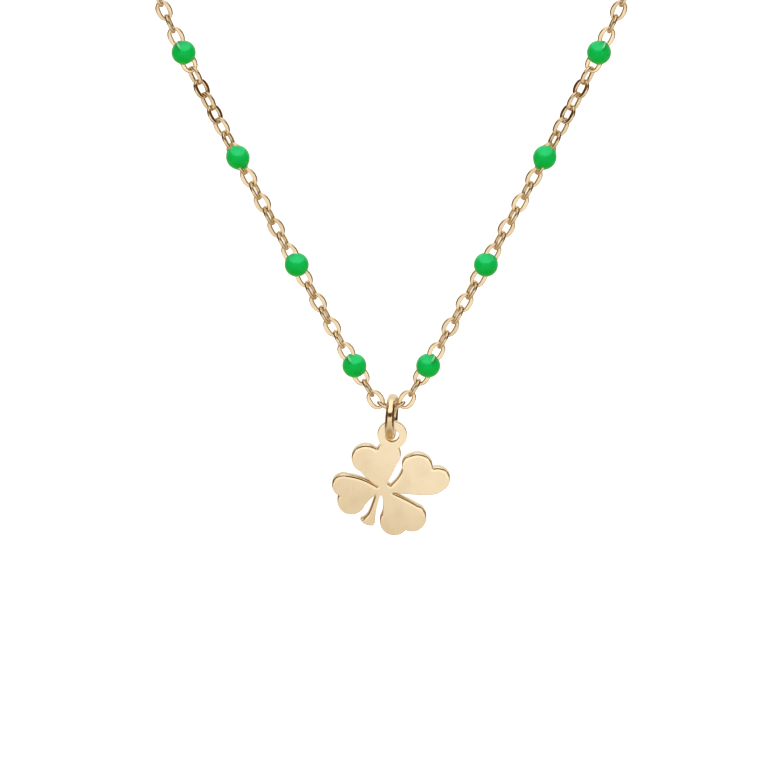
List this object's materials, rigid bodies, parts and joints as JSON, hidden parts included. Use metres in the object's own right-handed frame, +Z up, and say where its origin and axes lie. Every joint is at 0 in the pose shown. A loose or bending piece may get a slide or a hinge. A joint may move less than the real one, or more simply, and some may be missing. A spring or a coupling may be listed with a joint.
{
  "type": "clover necklace",
  "caption": "Fine gold cable chain with small green enamel beads and a flat polished clover charm on a jump ring, shown as worn.",
  "frame": {"origin": "the nape of the neck, between the clasp and the end ring, where the necklace rests", "axes": "+Z up, -Y towards the front where the clover hangs, +X to the right of someone looking at the front"},
  "size_m": [0.11, 0.1121, 0.1018],
  "materials": {
    "gold": "polished gold plate",
    "enamel": "glossy green enamel"
  },
  "bodies": {
    "necklace": {"chain_front": "gold", "chain_back": "gold", "bead_left_1": "enamel", "bead_left_2": "enamel", "bead_left_3": "enamel", "bead_left_4": "enamel", "bead_right_1": "enamel", "bead_right_2": "enamel", "bead_right_3": "enamel", "bead_right_4": "enamel", "beads_back_left": "enamel", "beads_back_right": "enamel", "clasp": "gold", "end_ring": "gold"},
    "ring": {"jump_ring": "gold"},
    "clover": {"clover": "gold"}
  },
  "joints": [
    {"name": "ring_swing", "type": "hinge", "parent": "necklace", "child": "ring", "pos_m": [0.00005, -0.10849, -0.08906], "axis": [0.9954, -0.0958, 0], "range_deg": [-30, 30]},
    {"name": "clover_sway", "type": "hinge", "parent": "ring", "child": "clover", "pos_m": [0.00007, -0.10849, -0.09069], "axis": [0, 1, 0], "range_deg": [-30, 30]}
  ]
}
